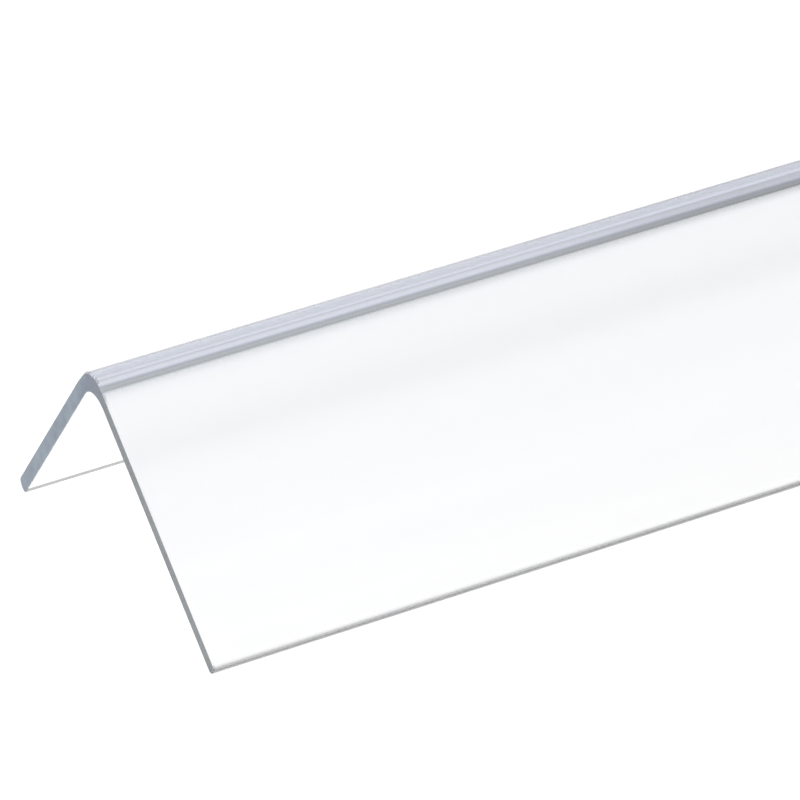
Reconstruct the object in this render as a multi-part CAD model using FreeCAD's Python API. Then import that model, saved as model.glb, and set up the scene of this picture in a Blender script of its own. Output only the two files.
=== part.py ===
"""Clear plastic corner guard: one extruded angle with a rounded nose.

Two equal wings meet at a rounded nose. Their inner faces lie against the two walls
of an outside corner. The guard stands on its two wing tips, nose up, as it does
when it is put down on a level floor.

Frame, in millimetres: +X along the length, +Z up, +Y from the front wing to the
back wing. The origin is the middle of the footprint, on the floor.
"""
import FreeCAD, Part
import math
import os

# Driving dimensions
LENGTH = 1000.0           # stock length
WING_WIDTH = 40.0         # from the sharp outer corner to the tip, along the outer face
WALL = 2.0                # thickness of each wing
CORNER_ANGLE = 90.0       # angle between the wings, in degrees
NOSE_RADIUS = 4.2         # rounding of the outer corner
FILLET_RADIUS = 3.7       # rounding of the inner corner
TIP_OUTER_RADIUS = 1.0    # rounding where the outer face meets the tip
TIP_INNER_RADIUS = 0.7    # rounding where the inner face meets the tip
SHORTEST_FLAT = 0.001     # a tip flat shorter than this is left out

FRONT, BACK = -1, +1      # the wing towards -Y and the wing towards +Y
HALF_ANGLE = math.radians(CORNER_ANGLE) / 2


def tip_radii():
    """The two tip radii, kept within the wall when it is thin."""
    share = min(1.0, WALL / (TIP_OUTER_RADIUS + TIP_INNER_RADIUS))
    return TIP_OUTER_RADIUS * share, TIP_INNER_RADIUS * share


def wing_vector(side, along, inward):
    """The move from the sharp outer corner: along a wing, then in through its wall."""
    y = side * (along * math.sin(HALF_ANGLE) - inward * math.cos(HALF_ANGLE))
    z = -along * math.cos(HALF_ANGLE) - inward * math.sin(HALF_ANGLE)
    return FreeCAD.Vector(0, y, z)


def rounding(side, along, inward, radius, half_turn):
    """The middle point of a rounding whose centre lies at along, inward.

    half_turn is the direction of that point from the centre, in radians, measured
    from the wing's own direction towards the inside of its wall.
    """
    across = radius * math.sin(half_turn)
    onward = radius * math.cos(half_turn)
    return wing_vector(side, along + onward, inward + across)


def tip_edges(side):
    """The end of one wing, from its outer face to its inner face."""
    outer_radius, inner_radius = tip_radii()
    eighth = math.pi / 4
    outer_start = wing_vector(side, WING_WIDTH - outer_radius, 0)
    outer_middle = rounding(side, WING_WIDTH - outer_radius, outer_radius, outer_radius, -eighth)
    outer_end = wing_vector(side, WING_WIDTH, outer_radius)
    inner_start = wing_vector(side, WING_WIDTH, WALL - inner_radius)
    inner_middle = rounding(side, WING_WIDTH - inner_radius, WALL - inner_radius, inner_radius, eighth)
    inner_end = wing_vector(side, WING_WIDTH - inner_radius, WALL)
    edges = [Part.Arc(outer_start, outer_middle, outer_end).toShape()]
    if (inner_start - outer_end).Length > SHORTEST_FLAT:
        edges.append(Part.LineSegment(outer_end, inner_start).toShape())
    edges.append(Part.Arc(inner_start, inner_middle, inner_end).toShape())
    return outer_start, edges, inner_end


def corner_edge(radius, depth):
    """The rounding between the wings on the face that lies at depth in the wall.

    Returns its end on the front wing, its edge, and its end on the back wing.
    """
    reach = (depth + radius) / math.tan(HALF_ANGLE)
    drop = (depth + radius) / math.sin(HALF_ANGLE) - radius
    front = wing_vector(FRONT, reach, depth)
    top = FreeCAD.Vector(0, 0, -drop)
    back = wing_vector(BACK, reach, depth)
    return front, Part.Arc(front, top, back).toShape(), back


def section():
    """The closed outline of the guard, its sharp outer corner at the origin."""
    nose_front, nose, nose_back = corner_edge(NOSE_RADIUS, 0)
    fillet_front, fillet, fillet_back = corner_edge(FILLET_RADIUS, WALL)
    front_outer, front_tip, front_inner = tip_edges(FRONT)
    back_outer, back_tip, back_inner = tip_edges(BACK)
    edges = [nose, Part.LineSegment(nose_back, back_outer).toShape()]
    edges += back_tip
    edges += [Part.LineSegment(back_inner, fillet_back).toShape(), fillet]
    edges += [Part.LineSegment(fillet_front, front_inner).toShape()]
    edges += front_tip
    edges += [Part.LineSegment(front_outer, nose_front).toShape()]
    return Part.Wire(Part.__sortEdges__(edges))


def corner_guard():
    """The section carried along the length and stood on its wing tips."""
    face = Part.Face(section())
    bar = face.extrude(FreeCAD.Vector(LENGTH, 0, 0))
    bar.translate(FreeCAD.Vector(-LENGTH / 2, 0, -face.BoundBox.ZMin))
    return bar


os.makedirs("parts", exist_ok=True)
guard = corner_guard()
box = guard.BoundBox
print("corner guard", round(box.XLength, 3), round(box.YLength, 3), round(box.ZLength, 3), "mm")
print("lowest point", round(box.ZMin, 6), "valid", guard.isValid())
print("volume", round(guard.Volume / 1000, 3), "cm3")
guard.exportStep("parts/corner_guard.step")
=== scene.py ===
# %% [markdown]
# # A clear plastic corner guard
# A corner guard is a thin angle of clear plastic that is glued over the outside
# corner of a wall. It is extruded: melted polycarbonate is pushed through a slot of
# the section's shape, cooled, and sawn to length. Everything that the eye sees follows
# from that. The section is the same all along, the faces are glossy, the nose is
# round, and the two ends are flat saw cuts.
#
# The solid model is loaded first. It gives the guard's size and place, and the piece
# made here takes the solid's place in the picture.

# %% Load the solid model
import math

import bpy
import numpy as np
from mathutils import Matrix, Vector


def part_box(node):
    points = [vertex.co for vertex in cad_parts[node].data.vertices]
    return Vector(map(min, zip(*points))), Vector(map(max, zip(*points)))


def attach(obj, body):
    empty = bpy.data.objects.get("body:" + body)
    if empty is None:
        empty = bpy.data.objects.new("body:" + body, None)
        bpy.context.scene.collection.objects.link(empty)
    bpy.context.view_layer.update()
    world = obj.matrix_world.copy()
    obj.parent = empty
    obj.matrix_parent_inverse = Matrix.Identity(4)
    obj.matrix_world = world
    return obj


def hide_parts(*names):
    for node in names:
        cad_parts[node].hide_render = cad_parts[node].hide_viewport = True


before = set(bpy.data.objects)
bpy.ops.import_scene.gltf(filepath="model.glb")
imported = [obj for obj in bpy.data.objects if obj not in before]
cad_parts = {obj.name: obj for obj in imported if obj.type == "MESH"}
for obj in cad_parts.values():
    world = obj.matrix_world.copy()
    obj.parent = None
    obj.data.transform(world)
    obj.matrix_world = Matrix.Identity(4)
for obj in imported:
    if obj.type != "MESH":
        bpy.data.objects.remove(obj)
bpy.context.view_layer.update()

low, high = (np.array(corner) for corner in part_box("corner_guard"))
print("the solid guard is", np.round((high - low) * 1000, 2), "mm")

# %% [markdown]
# ## The section
# Two wings of 40 mm meet at a right angle. The outer corner is a large round nose, the
# inner corner a slightly smaller fillet, and each wing ends in a rounded tip. The
# outline could be drawn by hand as a curve. It is all lines and parts of circles,
# though, so each stretch is worked out from the sizes, which keeps it exact and lets a
# size be changed in one place. The guard stands on its tips, like a ridge tent.

# %% Sizes of the section, in metres
WING_WIDTH = 0.040
WALL = 0.0020
NOSE_RADIUS = 0.0042
FILLET_RADIUS = 0.0037
TIP_OUTER_RADIUS = 0.0010
TIP_INNER_RADIUS = 0.0007
HALF_ANGLE = math.radians(45)
ARC_STEP = math.radians(3)
FLAT_COLUMNS = 16

# %% Points measured along a wing
BACK, FRONT = +1, -1


def along_wing(side, along, inward):
    """Points (y, z) at a distance along a wing and a depth into its wall.

    y = side (along sin h - inward cos h), z = -along cos h - inward sin h, where h is
    half the angle between the wings and the sharp outer corner is (0, 0).
    """
    along, inward = np.broadcast_arrays(along, inward)
    y = side * (along * math.sin(HALF_ANGLE) - inward * math.cos(HALF_ANGLE))
    z = -along * math.cos(HALF_ANGLE) - inward * math.sin(HALF_ANGLE)
    return np.stack([y, z], axis=-1)


# %% Round corners between the wings
def corner_arc(radius, depth):
    """The arc that joins both wings on the face at this depth, from -y to +y.

    Its centre is (0, -(depth + radius) / sin h), and each point lies at radius from it,
    turned by up to 90 - h degrees to either side of straight up.
    """
    reach = math.pi / 2 - HALF_ANGLE
    turn = np.linspace(-reach, reach, round(2 * reach / ARC_STEP) + 1)
    drop = (depth + radius) / math.sin(HALF_ANGLE)
    return np.stack([radius * np.sin(turn), radius * np.cos(turn) - drop], axis=-1)


# %% The rounded tip of a wing
def tip(side):
    """The two roundings at the end of a wing, from its outer face to its inner face.

    Both are quarter circles. The outer one ends and the inner one starts on the flat of
    the tip. A point lies radius (1 - sin a) short of the tip and radius (1 - cos a) into
    the wall on the outer one, and the other way about on the inner one. These arcs are
    small, so their steps are twice as wide as those of the large ones.
    """
    turn = np.linspace(0, math.pi / 2, round(math.pi / 2 / (2 * ARC_STEP)) + 1)
    rise, reach = 1 - np.cos(turn), 1 - np.sin(turn)
    outer = along_wing(side, WING_WIDTH - TIP_OUTER_RADIUS * reach, TIP_OUTER_RADIUS * rise)
    inner = along_wing(side, WING_WIDTH - TIP_INNER_RADIUS * rise, WALL - TIP_INNER_RADIUS * reach)
    return outer, inner


# %% The flat of a wing
def flat(start, end):
    """Evenly spaced points from start towards end, which is left out."""
    share = np.linspace(0, 1, FLAT_COLUMNS + 1)[:-1, None]
    return start + (end - start) * share


# %% [markdown]
# ## The outline and its skins
# The outline goes round in stretches, and each stretch is named for the skin that its faces get: the
# round nose, the outer face of the front wing, the foot of both wings, which is greyed with painted
# shade, and the clear rest. The foot covers the tip of the front wing, up to four steps short of its
# outer face. On the back wing it is only a strip of the inner face and part of the outer rounding,
# because the rest lets out the light that runs down in the wall.

# %% Join the outline
# The foot stretches carry the painted shade along the lower edge of each wing.
FOOT_START, FOOT_END = 4, 10
FOOT_STRIP = 0.0018

nose = corner_arc(NOSE_RADIUS, 0)
fillet = corner_arc(FILLET_RADIUS, WALL)[::-1]
back_outer, back_inner = tip(BACK)
front_outer, front_inner = (line[::-1] for line in tip(FRONT))
strip_end = along_wing(BACK, WING_WIDTH - FOOT_STRIP, WALL)
stretches = [
    ("nose", nose[:-1]),
    ("clear", flat(nose[-1], back_outer[0])),
    ("clear", back_outer[:FOOT_START]),
    ("foot", back_outer[FOOT_START:FOOT_END]),
    ("clear", back_outer[FOOT_END:]),
    ("clear", back_inner[:-1]),
    ("foot", back_inner[-1:]),
    ("clear", flat(strip_end, fillet[0])),
    ("clear", fillet[:-1]),
    ("clear", flat(fillet[-1], front_inner[0])),
    ("foot", front_inner),
    ("foot", front_outer[:-FOOT_START - 1]),
    ("front", front_outer[-FOOT_START - 1:-1]),
    ("front", flat(front_outer[-1], nose[0])),
]
outline = np.concatenate([line for name, line in stretches])
outline[:, 1] -= outline[:, 1].min()
print(len(outline), "points, section is", np.round(np.ptp(outline, axis=0) * 1000, 3), "mm")

# %% [markdown]
# ## The bar
# The outline is carried along the length. Clear plastic shows its shape by bending
# light, so the skin must be closed, its round parts truly round, and its normals
# smooth. The rim of each saw cut is broken a hair, as a scraper leaves it, and a little
# more on the nose and the front wing. A bevel modifier would do the same, but two rows
# of points that are drawn in by the chamfer say where each point goes.

# %% Which way is into the wall
ahead = np.roll(outline, -1, axis=0) - outline
ahead /= np.linalg.norm(ahead, axis=1)[:, None]
tangent = ahead + np.roll(ahead, 1, axis=0)
tangent /= np.linalg.norm(tangent, axis=1)[:, None]
into_wall = np.stack([tangent[:, 1], -tangent[:, 0]], axis=1)

# %% The broken rim of the saw cuts
NOSE_RIM = 0.00020
OTHER_RIM = 0.00006

rim = np.full(len(outline), NOSE_RIM)
rim[len(nose):-FLAT_COLUMNS - len(front_outer)] = OTHER_RIM

# %% Rows of points along the length
STATIONS = 60

x = np.concatenate([[low[0]], np.linspace(low[0], high[0], STATIONS), [high[0]]])


def bar_points():
    """One copy of the outline at every x; the two end rows are moved into the wall."""
    rows = np.repeat(outline[None], len(x), axis=0)
    rows[[0, -1]] += into_wall * rim[:, None]
    along = np.repeat(x[:, None], len(outline), axis=1)
    along[1] += rim
    along[-2] -= rim
    return np.concatenate([along[..., None], rows], axis=-1)


# %% Faces of the bar
def bar_faces(rows, columns):
    """Quads between neighbouring rows, and one many-sided face over each saw cut."""
    row, column = np.meshgrid(np.arange(rows - 1), np.arange(columns), indexing="ij")
    here = row * columns + column
    beside = row * columns + (column + 1) % columns
    quads = np.stack([here, here + columns, beside + columns, beside], axis=-1).reshape(-1, 4)
    near_cap = np.arange(columns)
    far_cap = near_cap[::-1] + (rows - 1) * columns
    return quads.tolist() + [near_cap.tolist(), far_cap.tolist()]


mesh = bpy.data.meshes.new("corner_guard_clear")
mesh.from_pydata(bar_points().reshape(-1, 3).tolist(), [], bar_faces(len(x), len(outline)))
mesh.validate()
guard = bpy.data.objects.new("corner_guard_clear", mesh)
bpy.context.scene.collection.objects.link(guard)
print("the bar has", len(mesh.polygons), "faces")

# %% Smooth skin, flat saw cuts
SAW_CUTS = 2
SHARP = math.radians(30)

smooth = np.ones(len(mesh.polygons), bool)
smooth[-SAW_CUTS:] = False
mesh.polygons.foreach_set("use_smooth", smooth)
mesh.set_sharp_from_angle(angle=SHARP)

# %% [markdown]
# ## Clear polycarbonate
# Polycarbonate bends light with an index of 1.585. In a white room a clear bar would almost vanish.
# What draws it is light that is caught inside: it enters the nose or a saw cut, is turned back by
# total reflection, and comes out dimmer and bluer after a long way through the plastic. A ray tracer
# finds these paths by itself, so the finish is a plain transmitting shader with a little absorption in
# its volume. The nose, the feet and the saw cuts add painted reflection and painted shade in the
# colour of their skins.
#
# Three small helpers come first. One turns an sRGB hex colour to linear light, one adds
# a node with its settings and links, and one fills a colour ramp.

# %% Colour and node helpers
def linear(hex_colour):
    """The linear colour of an sRGB hex colour, with an alpha of 1."""
    value = np.array([int(hex_colour[i:i + 2], 16) for i in (1, 3, 5)]) / 255
    light = np.where(value <= 0.04045, value / 12.92, ((value + 0.055) / 1.055) ** 2.4)
    return [*light.tolist(), 1.0]


def node(tree, kind, settings=None, links=None):
    """Adds a node. Settings are its options or input values, links its input sources.

    An input is named, or numbered where several share a name.
    """
    added = tree.nodes.new(kind)
    for name, value in (settings or {}).items():
        if isinstance(name, str) and hasattr(added, name):
            setattr(added, name, value)
        else:
            added.inputs[name].default_value = value
    for name, source in (links or {}).items():
        tree.links.new(source, added.inputs[name])
    return added


def fill_ramp(ramp, stops):
    """Gives a new colour ramp its stops: rising positions with hex colours."""
    elements = ramp.color_ramp.elements
    for i, (position, hex_colour) in enumerate(stops):
        stop = elements[i] if i < 2 else elements.new(position)
        stop.position = position
        stop.color = linear(hex_colour)
    return ramp.outputs["Color"]


# %% [markdown]
# ## What all the skins share
# Every skin of the guard encloses the same plastic, so they share the index and the absorption. They
# differ in how smooth they are and in the tint of the skin, so one function makes them all, and is
# handed another function for the tint. On the nose, the feet and the saw cuts that tint is painted
# light. On the flat faces the tint is faint streaks that run along the bar, since the die draws every
# fault out along the length. The streaks are noise that is stretched along x.

# %% A skin of clear plastic
INDEX = 1.585
ABSORPTION_PER_METRE = (0.8, 0.65, 0.4)
DENSITY = 10.0
STREAK_LENGTH = 0.25
STREAK_WIDTH = 0.006
DEEP_PLACE, PALE_PLACE = 0.35, 0.65


def clouds(tree, length, width):
    """Soft noise around 0.5 whose patches have this length along the bar and width."""
    where = node(tree, "ShaderNodeTexCoord").outputs["Object"]
    stretched = node(tree, "ShaderNodeMapping", {"Scale": (1 / length, 1 / width, 1 / width)},
                     {"Vector": where})
    noise = node(tree, "ShaderNodeTexNoise", {"Scale": 1.0, "Detail": 3.0},
                 {"Vector": stretched.outputs[0]})
    return noise.outputs["Fac"]


def streaks(tree, pale, deep):
    """A colour between two shades, in clouds drawn out along the bar."""
    ramp = node(tree, "ShaderNodeValToRGB", {}, {"Fac": clouds(tree, STREAK_LENGTH, STREAK_WIDTH)})
    return fill_ramp(ramp, [(DEEP_PLACE, deep), (PALE_PLACE, pale)])


def clear_plastic(name, roughness, tint, *shades):
    """A material of clear polycarbonate. tint(tree, *shades) makes the skin's colour."""
    material = bpy.data.materials.new(name)
    material.use_nodes = True
    tree = material.node_tree
    tree.nodes.clear()
    skin = node(tree, "ShaderNodeBsdfPrincipled",
                {"Transmission Weight": 1.0, "IOR": INDEX, "Roughness": roughness},
                {"Base Color": tint(tree, *shades)})
    kept = [1 - taken / DENSITY for taken in ABSORPTION_PER_METRE]
    body = node(tree, "ShaderNodeVolumeAbsorption", {"Color": (*kept, 1), "Density": DENSITY})
    node(tree, "ShaderNodeOutputMaterial", {}, {"Surface": skin.outputs[0], "Volume": body.outputs[0]})
    return material


# %% [markdown]
# ## The saw cuts
# A saw leaves a dull face with a faint mottle. Its grey-blue is painted shade: it stands in for the
# dim, bluer light that is caught in the plastic and leaves through the cut. It turns bluer from the
# front wing to the back wing, and that change is painted shade too. The colour is a ramp over y, and
# soft noise shifts the place on the ramp, so that the mottle and the painted shade share one set of
# shades.

# %% The tint of a saw cut
MOTTLE = 0.0025
MOTTLE_SHIFT = 0.8
CHANGE_REACH = 0.006
CHANGE_SHARE = 0.75


def mottle_and_painted_shade(tree, front, middle, back):
    """A mottled colour of painted shade that goes through three shades from the front wing to the back
    wing.
    """
    where = node(tree, "ShaderNodeTexCoord").outputs["Object"]
    y = node(tree, "ShaderNodeSeparateXYZ", {}, {"Vector": where}).outputs["Y"]
    span = {"From Min": -CHANGE_REACH, "From Max": CHANGE_REACH,
            "To Min": -0.5 * MOTTLE_SHIFT, "To Max": CHANGE_SHARE - 0.5 * MOTTLE_SHIFT}
    share = node(tree, "ShaderNodeMapRange", span, {"Value": y})
    moved = node(tree, "ShaderNodeMath", {"operation": "MULTIPLY_ADD", 1: MOTTLE_SHIFT},
                 {0: clouds(tree, MOTTLE, MOTTLE), 2: share.outputs[0]})
    ramp = node(tree, "ShaderNodeValToRGB", {}, {"Fac": moved.outputs[0]})
    return fill_ramp(ramp, [(0.0, front), (0.5, middle), (1.0, back)])


# %% [markdown]
# ## The nose and the feet
# The nose is tinted grey-blue. Around the guard the background is pure white, yet the nose shows a
# grey-blue room in soft bands along the bar. The tint is a painted reflection of that room, with a
# thin painted highlight line among the bands. The lower edge of each wing shows as a dark line,
# darkest in its middle. The tint there is painted shade where the wing stands on the floor, and the
# trimmed edge is a little dull. Both tints are a ramp across the section, over y on the nose and over
# the height on the feet. It follows the rounding without any seams, and slow noise lets it drift a
# little along the bar.

# %% A tint that changes across the section
MILLIMETRE = 0.001
DRIFT = 0.02
NOSE_REACH = 3.0
# Bands of painted reflection across the nose, with a thin painted highlight at -2.05 mm.
NOSE_PAINTED_REFLECTIONS = [
    (-2.25, "#CACCDE"),
    (-2.05, "#E6E9FA"),
    (-1.85, "#C2C5D2"),
    (-1.10, "#B2B5C5"),
    (-0.35, "#DFE6FE"),
    (+0.15, "#D5DBF0"),
    (+0.70, "#B0B2BC"),
    (+1.00, "#B0B2BC"),
    (+1.30, "#CACCDE"),
]
FOOT_REACH = 2.0
# Painted shade along the lower edge of each wing, darkest 0.75 to 0.9 mm above the floor.
FOOT_PAINTED_SHADES = [
    (0.45, "#A6A6A6"),
    (0.75, "#8E8E8E"),
    (0.90, "#8E8E8E"),
    (1.04, "#A8A8A8"),
    (1.18, "#CDCDCD"),
    (1.30, "#D3D3D3"),
    (1.43, "#E1E1E1"),
    (1.55, "#FFFFFF"),
]


def across_section(tree, axis, reach, shades):
    """A colour that follows y or z, from pairs of a place in millimetres and a shade."""
    where = node(tree, "ShaderNodeTexCoord").outputs["Object"]
    place = node(tree, "ShaderNodeSeparateXYZ", {}, {"Vector": where}).outputs[axis]
    span = {"From Min": -reach * MILLIMETRE, "From Max": reach * MILLIMETRE,
            "To Min": -0.5 * DRIFT, "To Max": 1 - 0.5 * DRIFT}
    share = node(tree, "ShaderNodeMapRange", span, {"Value": place})
    moved = node(tree, "ShaderNodeMath", {"operation": "MULTIPLY_ADD", 1: DRIFT},
                 {0: clouds(tree, STREAK_LENGTH, STREAK_WIDTH), 2: share.outputs[0]})
    ramp = node(tree, "ShaderNodeValToRGB", {}, {"Fac": moved.outputs[0]})
    return fill_ramp(ramp, [(0.5 + 0.5 * here / reach, shade) for here, shade in shades])


# %% [markdown]
# ## Five skins
# A face that comes straight from the die is glossy, with a roughness of about 0.05: the
# nose, the inner faces and the back wing's outer face. The outer face of the front wing
# has a fine haze, since the photograph shows nothing of the back wing through it. The
# feet are a little dull, and the saw cuts are duller still.

# %% Make the skins
skins = {
    "clear": clear_plastic("polycarbonate_clear", 0.05, streaks, "#FFFFFF", "#FCFCFD"),
    "front": clear_plastic("polycarbonate_front_face", 0.30, streaks, "#FFFFFF", "#FCFCFD"),
    # The nose's base colour is a painted reflection of a grey-blue room.
    "nose": clear_plastic("polycarbonate_nose_painted_reflection", 0.06, across_section, "Y", NOSE_REACH, NOSE_PAINTED_REFLECTIONS),
    # The feet's base colour is painted shade where the wings stand on the floor.
    "foot": clear_plastic("polycarbonate_foot_painted_shade", 0.10, across_section, "Z", FOOT_REACH, FOOT_PAINTED_SHADES),
    # The saw cuts' grey-blue, and its change from the front wing to the back wing, are painted shade
    # over a dull, mottled cut.
    "sawn": clear_plastic("polycarbonate_sawn_painted_shade", 0.35, mottle_and_painted_shade, "#555C62", "#40557B", "#799BB5"),
}
print("skins:", ", ".join(skins))

# %% Give every face its skin
order = list(skins)
for skin in skins.values():
    mesh.materials.append(skin)

column_skins = [order.index(name) for name, line in stretches for point in line]
sides = np.tile(column_skins, len(x) - 1)
caps = np.full(SAW_CUTS, order.index("sawn"))
mesh.polygons.foreach_set("material_index", np.concatenate([sides, caps]).astype(np.int32))

# %% Fix the bar to the frame
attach(guard, "root")
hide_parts("corner_guard")

# %% [markdown]
# ## The floor
# The guard was photographed on a white sweep that runs out of sight. A large matt floor
# does the same. It is lit mostly from below, as a light table is, which keeps it
# even and white under the plastic as well.

# %% Lay the floor
FLOOR_REACH = 6.0
FLOOR_DROP = 0.0001
FLOOR_GLOW = 0.935

corners = [(-1, -1), (1, -1), (1, 1), (-1, 1)]
floor_points = [(i * FLOOR_REACH, j * FLOOR_REACH, -FLOOR_DROP) for i, j in corners]
floor_mesh = bpy.data.meshes.new("floor")
floor_mesh.from_pydata(floor_points, [], [(0, 1, 2, 3)])
floor = bpy.data.objects.new("floor", floor_mesh)
bpy.context.scene.collection.objects.link(floor)

paint = bpy.data.materials.new("light_table")
paint.use_nodes = True
paint.node_tree.nodes.clear()
glow = node(paint.node_tree, "ShaderNodeBsdfPrincipled", {
    "Base Color": linear("#9B9B9B"), "Roughness": 1.0, "Specular IOR Level": 0.0,
    "Emission Color": linear("#FFFFFF"), "Emission Strength": FLOOR_GLOW,
})
node(paint.node_tree, "ShaderNodeOutputMaterial", {}, {"Surface": glow.outputs[0]})
floor_mesh.materials.append(paint)

# %% [markdown]
# ## The light
# The studio is a white tent. Behind the guard, between the floor and the tent's roof,
# hangs a wide band of greyer cloth in folds. The front edge of the nose bends the view
# up to it, and so a dark line runs along the bar beside the front wing. The shades are a
# ramp over the height in degrees. It fades out in front, where y is below zero.

# %% Hang the tent
TENT_STRENGTH = 1.05
BEHIND_START, BEHIND_FULL = -0.05, 0.10
ZENITH = 90
BAND = [
    (0, "#FFFFFF"),
    (2, "#F3F3F3"),
    (12, "#F6F6F6"),
    (20, "#FFFFFF"),
    (24, "#F3F6EE"),
    (30, "#C9CEC6"),
    (35, "#DEE1D6"),
    (39.5, "#D5D6C5"),
    (44, "#F3FBF3"),
    (48, "#FFFFFF"),
]

world = bpy.data.worlds.new("white_tent")
bpy.context.scene.world = world
world.use_nodes = True
sky = world.node_tree
sky.nodes.clear()
towards = node(sky, "ShaderNodeTexCoord").outputs["Generated"]
part = node(sky, "ShaderNodeSeparateXYZ", {}, {"Vector": towards}).outputs
climb = node(sky, "ShaderNodeMath", {"operation": "ARCSINE"}, {0: part["Z"]})
climbed = node(sky, "ShaderNodeMapRange", {"From Max": math.pi / 2}, {"Value": climb.outputs[0]})
behind = node(sky, "ShaderNodeMapRange", {"From Min": BEHIND_START, "From Max": BEHIND_FULL},
              {"Value": part["Y"]})
place = node(sky, "ShaderNodeMath", {"operation": "MULTIPLY"},
             {0: climbed.outputs[0], 1: behind.outputs[0]})
ramp = node(sky, "ShaderNodeValToRGB", {}, {"Fac": place.outputs[0]})
cloth = fill_ramp(ramp, [(degrees / ZENITH, hex_colour) for degrees, hex_colour in BAND])

# %% [markdown]
# The front wing mirrors the roof in front of it. A roof that is dimmer there, and more
# so to the right, gives the wing its soft tone against the white floor. The band behind
# falls off at its right end too, which dulls the far part of the nose.

# %% Dim the roof in front and the right end of the band
FRONT_START, FRONT_FULL = 0.0, -0.2
ROOF_START, ROOF_FULL = 0.5, 0.7
LEFT, RIGHT = 0.32, 0.43
LEFT_LOSS, RIGHT_LOSS = 0.2, 0.9
END_START, END_FULL = 0.385, 0.42
BAND_END_LOSS = 0.22

front = node(sky, "ShaderNodeMapRange", {"From Min": FRONT_START, "From Max": FRONT_FULL},
             {"Value": part["Y"]})
above = node(sky, "ShaderNodeMapRange", {"From Min": ROOF_START, "From Max": ROOF_FULL},
             {"Value": part["Z"]})
lost = {"From Min": LEFT, "From Max": RIGHT, "To Min": LEFT_LOSS, "To Max": RIGHT_LOSS}
dim = node(sky, "ShaderNodeMapRange", lost, {"Value": part["X"]})
roof = node(sky, "ShaderNodeMath", {"operation": "MULTIPLY"},
            {0: front.outputs[0], 1: above.outputs[0]})
roof_loss = node(sky, "ShaderNodeMath", {"operation": "MULTIPLY"},
                 {0: roof.outputs[0], 1: dim.outputs[0]})
end = node(sky, "ShaderNodeMapRange", {"From Min": END_START, "From Max": END_FULL},
           {"Value": part["X"]})
band_end = node(sky, "ShaderNodeMath", {"operation": "MULTIPLY"},
                {0: behind.outputs[0], 1: end.outputs[0]})
loss = node(sky, "ShaderNodeMath", {"operation": "MULTIPLY_ADD", 1: BAND_END_LOSS},
            {0: band_end.outputs[0], 2: roof_loss.outputs[0]})
lit = node(sky, "ShaderNodeMath", {"operation": "MULTIPLY_ADD", 1: -TENT_STRENGTH, 2: TENT_STRENGTH},
           {0: loss.outputs[0]})
tent = node(sky, "ShaderNodeBackground", {}, {"Color": cloth, "Strength": lit.outputs[0]})
node(sky, "ShaderNodeOutputWorld", {}, {"Surface": tent.outputs[0]})

# %% [markdown]
# ## The camera
# The photograph looks down at the left end of the guard, from the front and a little to
# the left, with a long lens that is turned slightly. The camera is placed from the
# corner where the sharp outer edge would end, which is the easiest point to measure.

# %% Point the camera
AZIMUTH = math.radians(-24.384)
ELEVATION = math.radians(27.380)
ROLL = math.radians(-5.209)
DISTANCE = 18.505 * WING_WIDTH
LENS_PIXELS = 6316.9
PICTURE_PIXELS = 800
LOOK_OFFSET = (-0.9097 * WING_WIDTH, -0.1127 * WING_WIDTH)
SENSOR = 36

across = math.cos(ELEVATION)
forward = Vector((-math.sin(AZIMUTH) * across, math.cos(AZIMUTH) * across, -math.sin(ELEVATION)))
level = forward.cross(Vector((0, 0, 1))).normalized()
upright = level.cross(forward)
right = level * math.cos(ROLL) + upright * math.sin(ROLL)
up = upright * math.cos(ROLL) - level * math.sin(ROLL)
sharp_rise = NOSE_RADIUS * (1 / math.sin(HALF_ANGLE) - 1)
sharp_corner = Vector((low[0], 0, high[2] + sharp_rise))
eye = sharp_corner - right * LOOK_OFFSET[0] + up * LOOK_OFFSET[1] - forward * DISTANCE
camera = bpy.data.objects.new("camera", bpy.data.cameras.new("camera"))
bpy.context.scene.collection.objects.link(camera)
axes = Matrix((right, up, -forward)).transposed()
camera.matrix_world = Matrix.Translation(eye) @ axes.to_4x4()
camera.data.sensor_width = SENSOR
camera.data.lens = LENS_PIXELS * SENSOR / PICTURE_PIXELS
bpy.context.scene.camera = camera
print("the camera stands at", np.round(np.array(eye), 3))

# %% [markdown]
# ## Paths of light
# Light that is caught in the plastic is turned back hundreds of times before it leaves
# at the far end. A low limit would cut those paths off and leave false dark lines, so
# the limits are high.

# %% Limits on the paths
BOUNCES = 300

scene = bpy.context.scene
scene.view_settings.view_transform = "Standard"
scene.cycles.max_bounces = BOUNCES
scene.cycles.transmission_bounces = BOUNCES
scene.cycles.glossy_bounces = BOUNCES
